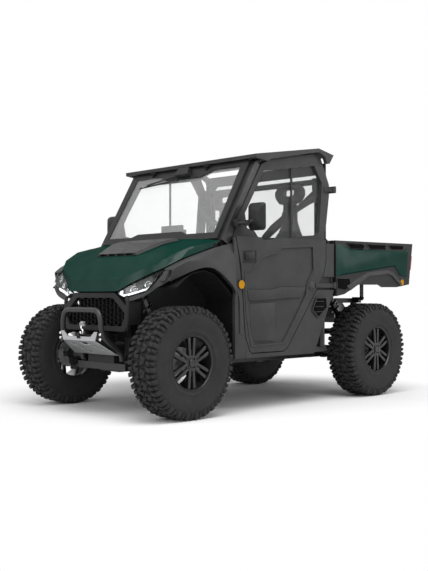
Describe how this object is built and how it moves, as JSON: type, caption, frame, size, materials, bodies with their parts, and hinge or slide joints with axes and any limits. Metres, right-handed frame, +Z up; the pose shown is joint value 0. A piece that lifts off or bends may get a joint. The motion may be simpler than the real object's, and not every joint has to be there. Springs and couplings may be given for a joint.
{
  "type": "side by side utility vehicle",
  "caption": "Two-seat enclosed side by side utility vehicle with lugged tyres, hinged doors and hood, tipping cargo bed, drop tailgate, winch and roof.",
  "frame": {"origin": "centre of the footprint, on the ground under the wheels", "axes": "+X forward along the longest extent, +Y to the driver's left, +Z up"},
  "size_m": [3.062, 1.785, 1.966],
  "materials": {
    "green_paint": "deep green gloss paint",
    "black_steel": "satin black powder coat",
    "dark_plastic": "moulded charcoal plastic",
    "black_plastic": "moulded black plastic",
    "clear_lens": "clear lamp lens",
    "red_lens": "red lamp lens",
    "glass": "clear glass",
    "silver": "bare silver plate",
    "steel": "bare steel",
    "alloy": "satin dark cast alloy",
    "cast": "cast housings",
    "tyre": "lugged rubber",
    "seat": "black seat cover",
    "webbing": "woven webbing"
  },
  "bodies": {
    "chassis": {"frame": "black_steel", "cab_frame": "black_steel", "front_frame": "black_steel", "rear_frame": "black_steel", "roll_cage": "black_steel", "floor_tub": "black_plastic", "dash": "dark_plastic", "front_fascia": "black_plastic", "grille": "black_plastic", "headlights": "clear_lens", "front_fenders": "dark_plastic", "wheel_liners": "black_plastic", "bull_bar": "black_steel", "winch": "cast", "skid_plate": "silver", "windshield_frame": "black_plastic", "cab_glass": "glass", "wiper": "black_plastic", "roof": "dark_plastic", "rear_panel": "dark_plastic", "seats": "seat", "seat_belts": "webbing", "steering_column": "steel", "suspension_arms": "black_steel", "shocks": "steel", "half_shafts": "steel", "gearcases": "cast", "engine": "cast", "exhaust": "steel", "hitch": "black_steel", "side_panels": "dark_plastic", "rear_knuckles": "cast"},
    "hood": {"hood": "green_paint", "hood_scoop": "black_plastic"},
    "steering_wheel": {"steering_wheel": "black_plastic"},
    "steering_rack": {"tie_rods": "steel"},
    "knuckle_left": {"knuckle_left": "cast"},
    "knuckle_right": {"knuckle_right": "cast"},
    "wheel_front_left": {"tyre_front_left": "tyre", "rim_front_left": "alloy"},
    "wheel_front_right": {"tyre_front_right": "tyre", "rim_front_right": "alloy"},
    "wheel_rear_left": {"tyre_rear_left": "tyre", "rim_rear_left": "alloy"},
    "wheel_rear_right": {"tyre_rear_right": "tyre", "rim_rear_right": "alloy"},
    "door_left": {"door_left": "dark_plastic", "door_glass_left": "glass", "mirror_left": "black_plastic"},
    "door_right": {"door_right": "dark_plastic", "door_glass_right": "glass", "mirror_right": "black_plastic"},
    "bed": {"bed_tub": "black_plastic", "bed_side_covers": "green_paint", "tail_lamps": "red_lens"},
    "tailgate": {"tailgate": "black_plastic"}
  },
  "joints": [
    {"name": "steer_left", "type": "hinge", "parent": "chassis", "child": "knuckle_left", "pos_m": [1.15, 0.575, 0.381], "axis": [0, 0, 1], "range_deg": [-30, 30]},
    {"name": "steer_right", "type": "hinge", "parent": "chassis", "child": "knuckle_right", "pos_m": [1.15, -0.575, 0.381], "axis": [0, 0, 1], "range_deg": [-30, 30]},
    {"name": "steering_wheel_turn", "type": "hinge", "parent": "chassis", "child": "steering_wheel", "pos_m": [0.4, 0.345, 1.24], "axis": [-0.788, 0, 0.6157], "range_deg": [-270, 270]},
    {"name": "rack_slide", "type": "slide", "parent": "chassis", "child": "steering_rack", "axis": [0, 1, 0], "range_m": [-0.038, 0.038]},
    {"name": "wheel_front_left_spin", "type": "hinge", "parent": "knuckle_left", "child": "wheel_front_left", "pos_m": [1.15, 0.658, 0.381], "axis": [0, 1, 0], "continuous": true},
    {"name": "wheel_front_right_spin", "type": "hinge", "parent": "knuckle_right", "child": "wheel_front_right", "pos_m": [1.15, -0.658, 0.381], "axis": [0, 1, 0], "continuous": true},
    {"name": "wheel_rear_left_spin", "type": "hinge", "parent": "chassis", "child": "wheel_rear_left", "pos_m": [-0.935, 0.658, 0.381], "axis": [0, 1, 0], "continuous": true},
    {"name": "wheel_rear_right_spin", "type": "hinge", "parent": "chassis", "child": "wheel_rear_right", "pos_m": [-0.935, -0.658, 0.381], "axis": [0, 1, 0], "continuous": true},
    {"name": "door_left_hinge", "type": "hinge", "parent": "chassis", "child": "door_left", "pos_m": [-0.39, 0.745, 1.25], "axis": [0, 0, 1], "range_deg": [0, 75]},
    {"name": "door_right_hinge", "type": "hinge", "parent": "chassis", "child": "door_right", "pos_m": [-0.39, -0.745, 1.25], "axis": [0, 0, -1], "range_deg": [0, 75]},
    {"name": "hood_hinge", "type": "hinge", "parent": "chassis", "child": "hood", "pos_m": [0.829, 0, 1.228], "axis": [0, -1, 0], "range_deg": [0, 45]},
    {"name": "bed_tip", "type": "hinge", "parent": "chassis", "child": "bed", "pos_m": [-1.287, 0, 0.8], "axis": [0, -1, 0], "range_deg": [0, 45]},
    {"name": "tailgate_hinge", "type": "hinge", "parent": "bed", "child": "tailgate", "pos_m": [-1.461, 0, 0.952], "axis": [0, -1, 0], "range_deg": [0, 90]}
  ],
  "couplings": [
    {"joint": "steer_right", "follows": "steer_left", "ratio": 1},
    {"joint": "steering_wheel_turn", "follows": "steer_left", "ratio": 9},
    {"joint": "rack_slide", "follows": "steer_left", "m_per_rad": -0.0716}
  ]
}
